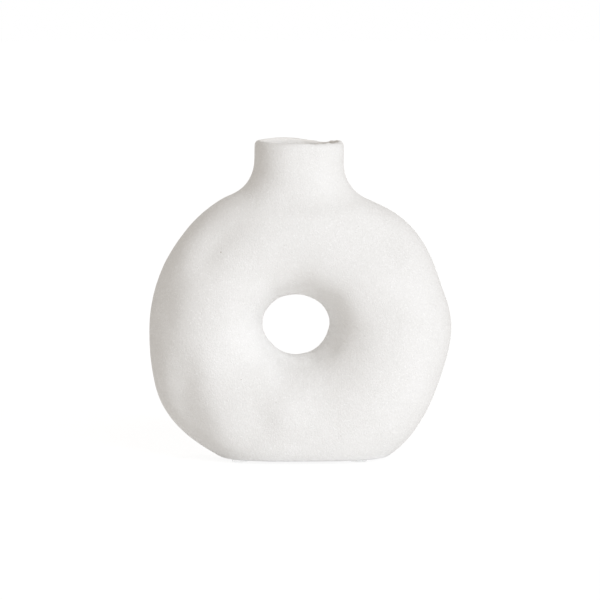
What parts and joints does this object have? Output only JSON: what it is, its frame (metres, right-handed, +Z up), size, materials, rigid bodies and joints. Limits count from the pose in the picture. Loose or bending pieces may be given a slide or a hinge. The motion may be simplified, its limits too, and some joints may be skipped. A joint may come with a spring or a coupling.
{
  "type": "donut vase",
  "caption": "Ring-shaped stoneware vase with a hole through its middle, a short open neck on top and a flat base that stands on clear pads.",
  "frame": {"origin": "on the table under the neck's axis, midway between the front and the back", "axes": "+Z up along the neck's axis, +Y through the ring's hole from front to back, +X to the right as seen from the front"},
  "size_m": [0.1783, 0.0735, 0.1896],
  "materials": {
    "stoneware": "unglazed, sandy, matt off-white bisque with a fine grain",
    "clear_pad": "clear, soft, self-adhesive polyurethane pad with a smooth skin",
    "adhesive": "thin clear pressure-sensitive adhesive film"
  },
  "bodies": {
    "root": {"vase_body": "stoneware", "pad_front_left": "clear_pad", "pad_front_right": "clear_pad", "pad_back_left": "clear_pad", "pad_back_right": "clear_pad", "adhesive_front_left": "adhesive", "adhesive_front_right": "adhesive", "adhesive_back_left": "adhesive", "adhesive_back_right": "adhesive"}
  },
  "joints": []
}
